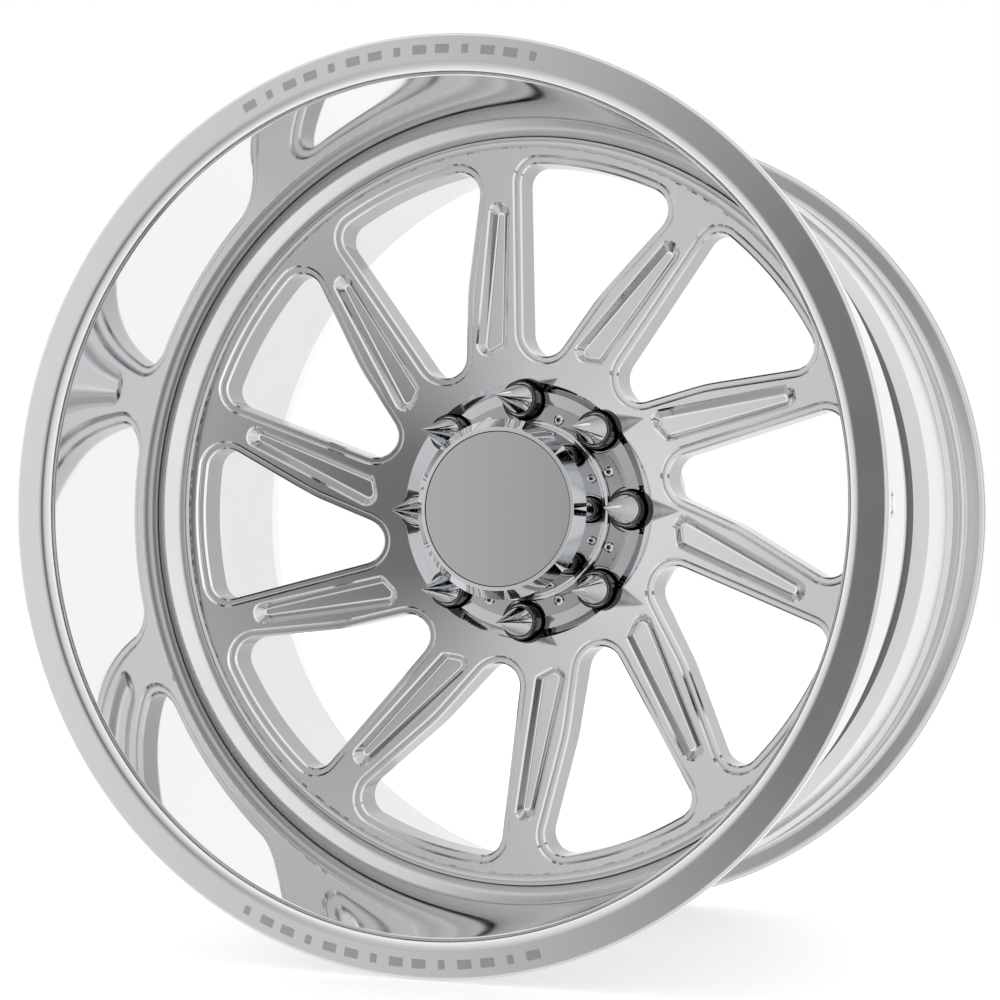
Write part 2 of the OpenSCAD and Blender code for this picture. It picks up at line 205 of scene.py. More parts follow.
class Skin:
    """The faces of a mesh, each corner with its own place and normal."""

    def __init__(self):
        self.corners, self.normals, self.materials = [], [], []

    def add(self, corners, normals=None, material=0):
        """Faces as an array of faces by corners by 3; without normals they are flat."""
        corners = np.asarray(corners, float)
        across = np.cross(corners[:, 2] - corners[:, 0], corners[:, -1] - corners[:, 1])
        if corners.shape[1] == 3:
            across = np.cross(corners[:, 1] - corners[:, 0], corners[:, 2] - corners[:, 0])
        if normals is None:
            size = np.linalg.norm(across, axis=1, keepdims=True)
            normals = np.repeat((across / np.maximum(size, 1e-12))[:, None], corners.shape[1], axis=1)
        normals = np.array(normals, float)
        wrong = (across * normals.sum(axis=1)).sum(axis=1) < 0
        corners = corners.copy()
        corners[wrong] = corners[wrong][:, ::-1]
        normals[wrong] = normals[wrong][:, ::-1]
        self.corners.append(corners)
        self.normals.append(normals)
        self.materials.append(np.full(len(corners), material))

    def strip(self, a, b, normals_a, normals_b, material=0, closed=True):
        """Quads between two rows of as many points."""
        rows = [a, b, normals_a, normals_b]
        ahead = [np.roll(r, -1, axis=0) for r in rows]
        if not closed:
            ahead = [r[:-1] for r in ahead]
            rows = [r[:-1] for r in rows]
        self.add(
            np.stack([rows[0], ahead[0], ahead[1], rows[1]], axis=1),
            np.stack([rows[2], ahead[2], ahead[3], rows[3]], axis=1),
            material,
        )

    def grid(self, rows, normals):
        """Quads between each closed row and the next."""
        for k in range(len(rows) - 1):
            self.strip(rows[k], rows[k + 1], normals[k], normals[k + 1])

    def level(self, flat, z, up=1, material=0):
        """Triangles of points in the plane at one height, facing up or down."""
        self.add(at_height(flat, z), np.tile([0, 0, float(up)], (*flat.shape[:2], 1)), material)

    def placed(self, matrix):
        """The same faces, moved."""
        m = np.array(matrix)
        made = Skin()
        made.corners = [c @ m[:3, :3].T + m[:3, 3] for c in self.corners]
        made.normals = [n @ m[:3, :3].T for n in self.normals]
        made.materials = list(self.materials)
        return made

    def join(self, other):
        self.corners += other.corners
        self.normals += other.normals
        self.materials += other.materials

    def mesh(self, name):
        flat = np.concatenate([c.reshape(-1, 3) for c in self.corners])
        keys = np.round((flat + 0.000137) / 0.001).astype(np.int64)
        _, first, index = np.unique(keys, axis=0, return_index=True, return_inverse=True)
        index = index.ravel()
        faces, loop_normals, materials = [], [], []
        at = 0
        for corners, normals, slots in zip(self.corners, self.normals, self.materials):
            sides = corners.shape[1]
            ids = index[at : at + len(corners) * sides].reshape(-1, sides)
            at += len(corners) * sides
            for face, face_normals, slot in zip(ids.tolist(), normals, slots):
                keep = [k for k in range(sides) if face[k] != face[k - 1]]
                if len(keep) < 3 or len({face[k] for k in keep}) < len(keep):
                    continue
                faces.append([face[k] for k in keep])
                loop_normals.extend(face_normals[k] for k in keep)
                materials.append(slot)
        mesh = bpy.data.meshes.new(name)
        mesh.from_pydata(flat[first].tolist(), [], faces)
        mesh.polygons.foreach_set("material_index", np.array(materials, np.int32))
        mesh.polygons.foreach_set("use_smooth", np.ones(len(faces), bool))
        normals = np.array(loop_normals)
        normals /= np.maximum(np.linalg.norm(normals, axis=1, keepdims=True), 1e-12)
        mesh.normals_split_custom_set(normals.tolist())
        mesh.update()
        return mesh


def around(rows, angles):
    """Each (radius, height) of rows at each angle: rows by angles by 3."""
    rows = np.asarray(rows, float)
    c, s = np.cos(angles), np.sin(angles)
    one = np.ones_like(angles)
    return np.stack([rows[:, :1] * c, rows[:, :1] * s, rows[:, 1:] * one], axis=-1)


def lathe(skin, corners, segments, steps=6, closed=True, up=1, material=None, skip=None, leave=None):
    """The (radius, height, fillet) corners turned round Z.
    An open profile faces the left of its direction of travel, or the right where up is -1.
    material maps a radius and a height to a number. skip is (height, first, last, where), columns left open
    at that height where the radius fits, and leave names whole strips that are left out."""
    points, before, after = trace(corners, steps, closed)
    side = (1 if is_clockwise(points) else -1) if closed else up
    angles = np.arange(segments + 1) * math.tau / segments
    places = around(points, angles)
    normal_before = around(side * left(before), angles)
    normal_after = around(side * left(after), angles)
    for i in range(len(points) if closed else len(points) - 1):
        j = (i + 1) % len(points)
        if np.linalg.norm(points[i] - points[j]) < 1e-6:
            continue
        middle = (points[i] + points[j]) / 2
        if middle[0] < 1e-6 or (leave and leave(*middle)):
            continue
        slot = material(*middle) if material else 0
        columns = [(0, segments)]
        if skip and (points[i][1] - skip[0]) * (points[j][1] - skip[0]) < 0 and skip[3](middle[0]):
            columns = [(skip[2], segments + skip[1])]
        for first, last in columns:
            take = np.arange(first, last + 1) % segments
            skin.strip(
                places[i][take], places[j][take], normal_after[i][take], normal_before[j][take],
                slot, closed=False,
            )


class Field:
    """A turned surface that has one height at each radius."""

    def __init__(self, corners, up, steps=6):
        points, before, after = trace(corners, steps, closed=False)
        self.r, self.z = points[:, 0], points[:, 1]
        self.before, self.after = up * left(before), up * left(after)

    def lifted(self, xy, rise=0.0):
        r = np.hypot(xy[..., 0], xy[..., 1])
        return np.concatenate([xy, (np.interp(r, self.r, self.z) + rise)[..., None]], axis=-1)

    def normals(self, xy, middle=None):
        """At each point, on the side of any break that has radius middle."""
        r = np.hypot(xy[..., 0], xy[..., 1])
        zone = r if middle is None else middle
        k = np.clip(np.searchsorted(self.r, zone, side="right") - 1, 0, len(self.r) - 2)
        share = np.clip((r - self.r[k]) / np.maximum(self.r[k + 1] - self.r[k], 1e-9), 0, 1)[..., None]
        n = self.after[k] * (1 - share) + self.before[k + 1] * share
        flat = xy / np.maximum(r, 1e-9)[..., None]
        n = np.concatenate([flat * n[..., :1], n[..., 1:]], axis=-1)
        return n / np.linalg.norm(n, axis=-1, keepdims=True)


def inside(points, outline):
    """Which points lie inside the closed outline."""
    x, y = points[:, 0], points[:, 1]
    lo, hi = outline.min(axis=0), outline.max(axis=0)
    near = np.flatnonzero((x > lo[0]) & (x < hi[0]) & (y > lo[1]) & (y < hi[1]))
    found = np.zeros(len(points), bool)
    if len(near) == 0:
        return found
    px, py = x[near, None], y[near, None]
    a, b = outline, np.roll(outline, -1, axis=0)
    spans = (a[:, 1] > py) != (b[:, 1] > py)
    rise = np.where(b[:, 1] == a[:, 1], 1, b[:, 1] - a[:, 1])
    crossing = a[:, 0] + (py - a[:, 1]) * (b[:, 0] - a[:, 0]) / rise
    found[near] = (spans & (px < crossing)).sum(axis=1) % 2 == 1
    return found


def filled(outer, holes, lines=(), loose=None):
    """Triangles inside outer and outside the holes, as an array of triangles by 3 by 2.
    lines are closed rings that the triangles follow, and loose more points for them to use."""
    rings = [outer, *holes, *lines]
    points = np.concatenate(rings + ([loose] if loose is not None and len(loose) else []))
    edges, at = [], 0
    for ring in rings:
        edges += [(at + k, at + (k + 1) % len(ring)) for k in range(len(ring))]
        at += len(ring)
    made = delaunay_2d_cdt([Vector(p) for p in points], edges, [], 0, 1e-4, True)
    places = np.array([points[given[0]] if given else tuple(v) for v, given in zip(made[0], made[3])])
    triangles = places[np.array([f for f in made[2] if len(f) == 3])]
    middles = triangles.mean(axis=1)
    keep = inside(middles, outer)
    for hole in holes:
        keep &= ~inside(middles, hole)
    return triangles[keep]


def spread(r0, r1, gap, clear_of, clearance):
    """Points on circles from r0 to r1, gap apart, that keep clear of the outlines."""
    rows = []
    for k, r in enumerate(np.arange(r0, r1, gap)):
        ring = circle(r, max(12, round(math.tau * r / gap)))
        rows.append(spun(ring, 0.37 * k))
    points = np.concatenate(rows)
    keep = np.ones(len(points), bool)
    for outline in clear_of:
        keep &= ~inside(points, outline)
        near = np.abs(points[:, None] - outline[None]).sum(axis=2).min(axis=1)
        keep &= near > clearance
    return points[keep]


# ---- materials ----


def add_node(tree, kind, links=(), **settings):
    """A shader node. links gives a value, or a socket to read, for each input."""
    made = tree.nodes.new("ShaderNode" + kind)
    for key, value in settings.items():
        setattr(made, key, value)
    for socket, source in dict(links).items():
        if hasattr(source, "links"):
            tree.links.new(source, made.inputs[socket])
        else:
            made.inputs[socket].default_value = source
    return made


class Paint:
    """A material under construction."""

    def __init__(self, name, base, metallic, roughness):
        self.material = bpy.data.materials.new(name)
        self.material.use_nodes = True
        self.tree = self.material.node_tree
        self.shader = self.tree.nodes["Principled BSDF"]
        self.set(Metallic=metallic, Roughness=roughness, Base_Color=(*base, 1))
        self.material.diffuse_color = (*base, 1)
        self.base = base

    def set(self, **values):
        for key, value in values.items():
            self.shader.inputs[key.replace("_", " ")].default_value = value

    def node(self, kind, links=(), **settings):
        return add_node(self.tree, kind, links, **settings)

    def maths(self, operation, a, b=0.0):
        return self.node("Math", {0: a, 1: b}, operation=operation).outputs[0]

    def ranged(self, value, low, high, to_low, to_high):
        links = {"Value": value, "From Min": low, "From Max": high, "To Min": to_low, "To Max": to_high}
        return self.node("MapRange", links).outputs["Result"]

    def place(self):
        """The piece's own coordinates: millimetres on a drawn piece, metres on a CAD node."""
        return self.node("TexCoord").outputs["Object"]

    def polar(self, along_r, along_turn, along_z):
        """Coordinates that follow the turning tool: streaks run round the axis."""
        xyz = self.node("SeparateXYZ", {0: self.place()})
        x, y, z = xyz.outputs
        r = self.maths("SQRT", self.maths("ADD", self.maths("MULTIPLY", x, x), self.maths("MULTIPLY", y, y)))
        turn = self.maths("ARCTAN2", y, x)
        return self.node("CombineXYZ", {
            0: self.maths("MULTIPLY", r, along_r),
            1: self.maths("MULTIPLY", turn, along_turn),
            2: self.maths("MULTIPLY", z, along_z),
        }).outputs[0]

    def noise(self, vector, scale, detail=2.0, roughness=0.5):
        links = {"Vector": vector, "Scale": scale, "Detail": detail, "Roughness": roughness}
        return self.node("TexNoise", links).outputs[0]

    def stretched(self, x, y, z):
        return self.node("Mapping", {"Vector": self.place(), "Scale": (x, y, z)}).outputs[0]

    def rough(self, value, low, high):
        """Roughness from low to high as the 0 to 1 value does."""
        self.tree.links.new(self.ranged(value, 0.3, 0.7, low, high), self.shader.inputs["Roughness"])

    def bump(self, height, distance):
        made = self.node("Bump", {"Height": height, "Distance": distance, "Strength": 1.0})
        self.tree.links.new(made.outputs[0], self.shader.inputs["Normal"])

    def tint(self, value, dark, light):
        """Base colour from dark to light times the plain one as the 0 to 1 value does."""
        shade = self.ranged(value, 0.3, 0.7, dark, light)
        grey = self.node("CombineXYZ", {0: shade, 1: shade, 2: shade}).outputs[0]
        links = {0: grey, 1: self.base}
        scaled = self.node("VectorMath", links, operation="MULTIPLY").outputs[0]
        self.tree.links.new(scaled, self.shader.inputs["Base Color"])


def turned_metal(name, base, roughness, vary, marks, wander=0.0):
    """Metal with fine tool marks round its axis, marks deep in metres, and faint smudges."""
    paint = Paint(name, base, 1.0, roughness)
    fine = paint.noise(paint.polar(9.0, 0.6, 9.0), 1.0, 3.0, 0.6)
    smudge = paint.noise(paint.place(), 0.02, 3.0, 0.6)
    mixed = paint.maths("MULTIPLY", paint.maths("ADD", fine, smudge), 0.5)
    paint.rough(mixed, max(0.0, roughness - vary), roughness + vary)
    if marks:
        paint.bump(fine, marks)
    if wander:
        paint.tint(smudge, 1 - wander, 1.0)
    return paint.material


def grained(
    name, base, roughness, span, depth, metallic=1.0, scale=1.7, detail=3.0, softness=0.6, darkest=None
):
    """An even fine grain, depth in metres, that takes the roughness over the span."""
    paint = Paint(name, base, metallic, roughness)
    grain = paint.noise(paint.place(), scale, detail, softness)
    paint.rough(grain, *span)
    if depth:
        paint.bump(grain, depth)
    if darkest:
        paint.tint(grain, darkest, 1.0)
    return paint.material


def plain_metal(name, base, roughness, vary, depth):
    """Metal as cast or milled."""
    span = (max(0.0, roughness - vary), roughness + vary)
    return grained(name, base, roughness, span, depth)


def brushed_metal(name, base, roughness):
    """Metal with a straight grain along X."""
    paint = Paint(name, base, 1.0, roughness)
    grain = paint.noise(paint.stretched(0.02, 3.0, 1.0), 1.0, 4.0, 0.7)
    paint.rough(grain, roughness - 0.02, roughness + 0.02)
    paint.tint(grain, 0.98, 1.0)
    return paint.material


def black_gloss(name):
    return grained(name, (0.004, 0.004, 0.005), 0.08, (0.05, 0.14), 0.0, 0.0, 0.9, 4.0, 0.5)


def wire_or_brass(name, base, roughness):
    """For the small CAD nodes that are shown as they are."""
    span = (roughness - 0.06, roughness + 0.06)
    return grained(name, base, roughness, span, 0.00001, scale=1500.0, darkest=0.92)


ALUMINIUM = (0.80, 0.805, 0.815)
polished = turned_metal("polished_lip", ALUMINIUM, 0.04, 0.03, 0.0)
ring_face = turned_metal("turned_flange", (0.78, 0.785, 0.795), 0.16, 0.05, 0.000004)
step_dark = plain_metal("step_shadow", (0.14, 0.145, 0.15), 0.2, 0.05, 0.000004)
barrel_back = turned_metal("turned_barrel", (0.70, 0.705, 0.715), 0.1, 0.04, 0.000004, 0.04)
face_metal = turned_metal("polished_face", (0.78, 0.785, 0.795), 0.05, 0.03, 0.0)
# Darker than the face metal: painted shade on the walls of the pockets, the lug holes, the step and the bore.
shaded_wall_metal = plain_metal("milled_wall_painted_shade", (0.68, 0.685, 0.69), 0.09, 0.03, 0.0)
# Lighter than the face metal: painted highlight on the chamfers round the windows and pockets and on the
# pockets' feet.
highlight_edge_metal = plain_metal("bright_edge_painted_highlight", (0.94, 0.945, 0.95), 0.1, 0.03, 0.0)
soft_metal = turned_metal("soft_edge", (0.86, 0.865, 0.87), 0.24, 0.04, 0.000002)
# Darker than the chrome: painted shade on the cap's flange plate.
shaded_plate_chrome = plain_metal("shaded_chrome", (0.52, 0.53, 0.54), 0.05, 0.02, 0.0)
# Much darker than the face metal: painted shade on the windows' inner walls.
shaded_window_metal = plain_metal("window_wall", (0.34, 0.345, 0.35), 0.12, 0.04, 0.000004)
back_metal = turned_metal("forged_back", (0.62, 0.625, 0.63), 0.34, 0.08, 0.00003, 0.08)
weld_metal = plain_metal("weld_metal", (0.8, 0.8, 0.8), 0.35, 0.1, 0.00005)
chrome = plain_metal("chrome_plate", (0.80, 0.81, 0.82), 0.03, 0.02, 0.0)
brushed = brushed_metal("brushed_disc_metal", (0.62, 0.63, 0.635), 0.2)
# Black on the spikes' collars: painted dark reflection round the base of each spike.
collar_reflection_black = black_gloss("black_collar_painted_reflection")
# Black in the cap tower's groove and in the screw sockets: painted shade.
groove_shade_black = black_gloss("black_groove_painted_shade")
steel = plain_metal("washer_steel", (0.52, 0.52, 0.53), 0.34, 0.08, 0.00002)
mark_dark = plain_metal("dark_engraving", (0.5, 0.505, 0.51), 0.4, 0.08, 0.00002)
rubber_black = grained("black_rubber", (0.018, 0.018, 0.02), 0.62, (0.5, 0.72), 0.00005, 0.0, 900.0, 4.0)
brass_turned = turned_metal("plated_brass", (0.74, 0.74, 0.735), 0.14, 0.05, 0.000004)
brass = wire_or_brass("valve_brass_metal", (0.76, 0.60, 0.30), 0.3)
spring = wire_or_brass("spring_wire", (0.55, 0.55, 0.56), 0.3)


def piece(name, skin, materials, body, nodes, place=Matrix.Identity(4)):
    """Makes the object, which rides on body and stands for the CAD nodes."""
    mesh = skin.mesh(name)
    for material in materials:
        mesh.materials.append(material)
    obj = bpy.data.objects.new(name, mesh)
    bpy.context.scene.collection.objects.link(obj)
    obj.matrix_world = FITTED @ place
    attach(obj, body)
    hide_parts(*nodes)
    return obj


# ---- rim ----

VALVE_COLUMNS = 6
VALVE_HOLE_R = 5.7
SPOT_R = 11.0
RIM_SEGMENTS = 360


def valve_patch(skin, wall_r, z0, z1, hole_r, spot_depth, spot_r, out, material):
    """The part of a round wall that lathe() leaves open, with the valve's spot face and hole in it.
    It is drawn flat, as the distance round the wall and the height."""
    step = math.tau / RIM_SEGMENTS
    ends = np.arange(-VALVE_COLUMNS, VALVE_COLUMNS + 1) * step * wall_r
    low = np.stack([ends, np.full(len(ends), z0)], axis=1)
    high = np.stack([ends, np.full(len(ends), z1)], axis=1)[::-1]
    outline = np.concatenate([low, high])
    spot = circle(spot_r, 48, (0, VALVE_Z))

    def wrapped(flat, sunk=0.0):
        a = flat[..., 0] / wall_r
        r = wall_r + sunk
        return np.stack([r * np.cos(a), r * np.sin(a), flat[..., 1]], axis=-1)

    def facing(flat):
        a = flat[..., 0] / wall_r
        return out * np.stack([np.cos(a), np.sin(a), 0 * a], axis=-1)

    triangles = filled(outline, [spot])
    skin.add(wrapped(triangles), facing(triangles), material)
    # the spot face is flat, across the valve's axis
    top = wrapped(spot)
    floor = top.copy()
    floor[:, 0] = wall_r - out * spot_depth
    toward = np.stack([0 * spot[:, 0], -spot[:, 0], VALVE_Z - spot[:, 1]], axis=1) / spot_r
    skin.strip(top, floor, toward, toward, material)
    hole = floor.copy()
    hole[:, 1:] = (floor[:, 1:] - [0, VALVE_Z]) * hole_r / spot_r + [0, VALVE_Z]
    flat = np.tile([out * 1.0, 0, 0], (len(hole), 1))
    skin.strip(floor, hole, flat, flat, material)
    return hole, toward


# The numbers of the rim's materials
LIP, RING, BARREL, MARKS, STEP, FOOT = range(6)


def ring_marks(skin, inner_r, outer_r):
    """The flat front of the rim, with two rows of plain engraved bars."""
    depth, edge, corner_r = 0.35, 0.15, 0.6
    count, pitch = 14, 3.1
    low, high = 308.6, 314.6
    holes = []
    for middle in (94.5, -94.5):
        for k in range(count):
            a = math.radians(middle + (k - (count - 1) / 2) * pitch)
            half_w = math.radians(0.95 if k % 3 else 0.45)
            corners = [
                (r * math.cos(a + w), r * math.sin(a + w), corner_r)
                for r, w in ((low, half_w), (high, half_w), (high, -half_w), (low, -half_w))
            ]
            mouth, foot = trace(grown(corners, edge), 3)[0], trace(grown(corners, -edge), 3)[0]
            slope = wall_normals(corners, 3) + [0, 0, 0.8]
            skin.strip(at_height(mouth, FRONT_Z), at_height(foot, FRONT_Z - depth), slope, slope, MARKS)
            skin.level(filled(foot, []), FRONT_Z - depth, material=MARKS)
            holes.append(mouth)
    rings = [circle(r, RIM_SEGMENTS) for r in (low - 1, high + 1)]
    flat = filled(circle(outer_r, RIM_SEGMENTS), [circle(inner_r, RIM_SEGMENTS), *holes], rings)
    skin.level(flat, FRONT_Z, material=RING)


def rim_barrel():
    skin = Skin()

    def finish_of(r, z):
        if z > FRONT_Z - 0.4 and r > LIP_R + 8:
            return RING
        if 30.4 < z < 34.6 and r > 288:
            return STEP
        if 85 < z < 114 and r < LIP_R + 0.1:
            return FOOT
        if z > 85 and r < LIP_R + 1 or z > FRONT_Z - 9.5 and r < 304:
            return LIP
        return BARREL

    wall_out = BEAD_R - 2.8
    corners = [
        (FLANGE_R, FRONT_BEAD_Z + 1.5, 5), (BEAD_R, FRONT_BEAD_Z, 6),
        (BEAD_R - 1.9, FRONT_BEAD_Z - 22, 2), (BEAD_R + 1.2, FRONT_BEAD_Z - 28, 3),
        (wall_out, FRONT_BEAD_Z - 34, 3), (wall_out, 112, 9), (289.5, 88, 8), (289.5, 34, 1.5),
        (292, 31, 1.5), (299.7, 8, 4), (BEAD_R - 1.8, BACK_BEAD_Z + 52, 3),
        (BEAD_R + 0.8, BACK_BEAD_Z + 44, 3), (BEAD_R - 1.8, BACK_BEAD_Z + 36, 2),
        (BEAD_R, BACK_BEAD_Z, 6), (FLANGE_R, BACK_BEAD_Z - 1.5, 5), (FLANGE_R, BACK_Z, 5),
        (307.5, BACK_Z, 4), (296.5, BACK_BEAD_Z + 16.8, 12), (293.5, 2, 6), (283, 34, 8),
        (283, 93, 4), (LIP_R, 106, 5), (LIP_R, FRONT_Z, 9), (FLANGE_R, FRONT_Z, 2.5),
    ]

    def pierced(r):
        return abs(r - LIP_R) < 0.01 or abs(r - wall_out) < 0.01

    lathe(
        skin, corners, RIM_SEGMENTS, steps=10, material=finish_of,
        skip=(VALVE_Z, -VALVE_COLUMNS, VALVE_COLUMNS, pierced), leave=lambda r, z: z > FRONT_Z - 1e-4,
    )
    ring_marks(skin, LIP_R + 9, FLANGE_R - 2.5)
    points, _, _ = trace(corners, 10)

    def span(r):
        at = points[np.abs(points[:, 0] - r) < 1e-3][:, 1]
        return at[at < VALVE_Z].max(), at[at > VALVE_Z].min()

    inner, toward = valve_patch(skin, LIP_R, *span(LIP_R), VALVE_HOLE_R, -0.5, SPOT_R, -1, LIP)
    sunk = wall_out - LIP_R - VALVE_WALL_T
    outer, _ = valve_patch(skin, wall_out, *span(wall_out), VALVE_HOLE_R, sunk, SPOT_R, 1, BARREL)
    skin.strip(inner, outer, toward, toward, BARREL)
    materials = [polished, ring_face, barrel_back, mark_dark, step_dark, soft_metal]
    return piece("barrel", skin, materials, "wheel", ["rim_barrel"])


rim_barrel()


# ---- wheel centre ----

FRONT = Field([
    (RELIEF_R, RECESS_Z, 0),
    (RECESS_R - 6.4, RECESS_Z, 0.5),
    (RECESS_R, FACE_Z, 0.8),
    (CENTER_R + 5, FACE_Z + FACE_SLOPE * (CENTER_R + 5 - RECESS_R), 0),
], up=1, steps=3)


def face_height(r):
    return FACE_Z + FACE_SLOPE * (r - RECESS_R)


BACK = Field([
    (BORE_R, 0, 0),
    (PAD_R, 0, 2),
    (PAD_R + 6, 38, 10),
    (152, face_height(152) - SPOKE_T, 20),
    (CENTER_R, face_height(CENTER_R) - SPOKE_T, 0),
], up=-1, steps=4)

FACE_EDGE_R = 274.0
CORNER_STEPS = 12
HUB_SEGMENTS = 240
# The numbers of the centre's materials
FACE, WALL, REAR, EDGE, WINDOW_WALL, SOFT = range(6)


def flat_of(corners):
    return trace(corners, CORNER_STEPS)[0]


def window_walls(skin, angle):
    """From the face over the step and down to the back of the spokes. Returns the two outlines it leaves."""
    edge = 1.3

    def ring(by, field, rise):
        flat = spun(flat_of(grown(WINDOW, by)), angle)
        return field.lifted(flat, rise), flat

    level = wall_normals(WINDOW, CORNER_STEPS)
    level[:, :2] = spun(level[:, :2], angle)

    def step_down(outer, inner, depth):
        """A chamfer from offset outer at this depth down to the wall at offset inner."""
        a, flat_a = ring(outer, FRONT, -depth)
        b, _ = ring(inner, FRONT, -depth - (outer - inner))
        slope = FRONT.normals(flat_a) + level
        skin.strip(a, b, slope, slope, EDGE)
        return b, flat_a

    wall_top, mouth = step_down(STEP_W + edge, STEP_W, 0.0)
    # the step's wall with its inner fillet, and its ledge
    a, flat_a = ring(STEP_W - edge, FRONT, -STEP_DEPTH)
    n = FRONT.normals(flat_a)
    skin.strip(wall_top, a, level, n, WALL)
    b, flat_b = ring(edge, FRONT, -STEP_DEPTH)
    skin.strip(a, b, n, FRONT.normals(flat_b), FACE)
    wall, _ = step_down(edge, 0.0, STEP_DEPTH)
    foot, _ = ring(0.0, BACK, edge)
    # the windows' inner walls take the much darker metal: painted shade
    skin.strip(wall, foot, level, level, WINDOW_WALL)
    back, flat_back = ring(edge, BACK, 0.0)
    skin.strip(foot, back, level, BACK.normals(flat_back), WINDOW_WALL)
    return mouth, flat_back


def pocket_walls(skin, angle):
    """Sloped walls and a flat-bottomed floor. Returns the outline at the face."""
    edge, fillet = 0.9, 1.2
    insets = [-s for s in POCKET_SLOPES]

    def ring(corners, rise):
        flat = spun(flat_of(corners), angle)
        return FRONT.lifted(flat, rise), flat

    mouth_corners = grown(POCKET, edge)
    floor_radii = [3.5, 2.5, 2.0, 4.0]
    top, flat_top = ring(mouth_corners, 0.0)
    face_n = FRONT.normals(flat_top)
    foot, _ = ring(grown(POCKET, insets, floor_radii), -POCKET_DEPTH)
    # along each slope: down from the mouth to the floor
    lip, _ = ring(grown(POCKET, -0.35 * edge), 0.0)
    slope = foot - lip
    level = wall_normals(POCKET, CORNER_STEPS)
    level[:, :2] = spun(level[:, :2], angle)
    run = np.maximum((slope * level).sum(axis=1), 0.5)[:, None]
    drop = -slope[:, 2:]
    wall_n = level * drop / run + np.array([0, 0, 1.0])
    wall_n /= np.linalg.norm(wall_n, axis=1, keepdims=True)
    down = slope / np.linalg.norm(slope, axis=1, keepdims=True)
    wall_top = lip + down * edge * 0.7
    wall_foot = foot - down * fillet
    rim = face_n + level
    skin.strip(top, wall_top, rim, rim, EDGE)
    skin.strip(wall_top, wall_foot, wall_n, wall_n, WALL)
    inner_radii = [max(r - fillet, 0.8) for r in floor_radii]
    inner, flat_inner = ring(grown(POCKET, [i - fillet for i in insets], inner_radii), -POCKET_DEPTH)
    skin.strip(wall_foot, inner, wall_n, FRONT.normals(flat_inner), EDGE)
    floor = filled(flat_inner, [])
    skin.add(FRONT.lifted(floor, -POCKET_DEPTH), FRONT.normals(floor), FACE)
    return flat_top


def lug_ring(radius, angle, radii):
    """A circle round a lug hole, with extra points where it meets circles about the wheel's axis."""
    angles = list(np.arange(64) * math.tau / 64)
    for r in radii:
        c = (r * r - LUG_CIRCLE_R**2 - radius**2) / (2 * LUG_CIRCLE_R * radius)
        if abs(c) < 1:
            angles += [math.acos(c), math.tau - math.acos(c)]
    angles = np.array(sorted(angles))
    flat = np.stack([LUG_CIRCLE_R + radius * np.cos(angles), radius * np.sin(angles)], axis=1)
    into = -np.stack([np.cos(angles), np.sin(angles), 0 * angles], axis=1)
    into[:, :2] = spun(into[:, :2], angle)
    return spun(flat, angle), into


def lug_walls(skin, angle):
    edge = 0.5
    breaks = [r for r in FRONT.r if r < 120]
    mouth, into = lug_ring(LUG_POCKET_R + edge, angle, breaks)
    centre = spun(np.array([[LUG_CIRCLE_R, 0]]), angle)
    along = (mouth - centre) / (LUG_POCKET_R + edge)
    top = FRONT.lifted(mouth)
    wall = FRONT.lifted(centre + along * LUG_POCKET_R, -edge)
    skin.strip(top, wall, FRONT.normals(mouth), into, WALL)

    def at(radius, z):
        return at_height(centre + along * radius, z)

    seat_top = LUG_SEAT_Z + (LUG_POCKET_R - LUG_HOLE_R) * math.sqrt(3)
    seat_n = into * math.cos(math.radians(30)) + np.array([0, 0, 0.5])
    skin.strip(wall, at(LUG_POCKET_R, seat_top), into, into, WALL)
    skin.strip(at(LUG_POCKET_R, seat_top), at(LUG_HOLE_R, LUG_SEAT_Z), seat_n, seat_n, WALL)
    skin.strip(at(LUG_HOLE_R, LUG_SEAT_Z), at(LUG_HOLE_R, edge), into, into, WALL)
    back = at(LUG_HOLE_R + edge, 0)
    down = np.tile([0, 0, -1.0], (len(mouth), 1))
    skin.strip(at(LUG_HOLE_R, edge), back, into, down, WALL)
    return mouth, back[:, :2]


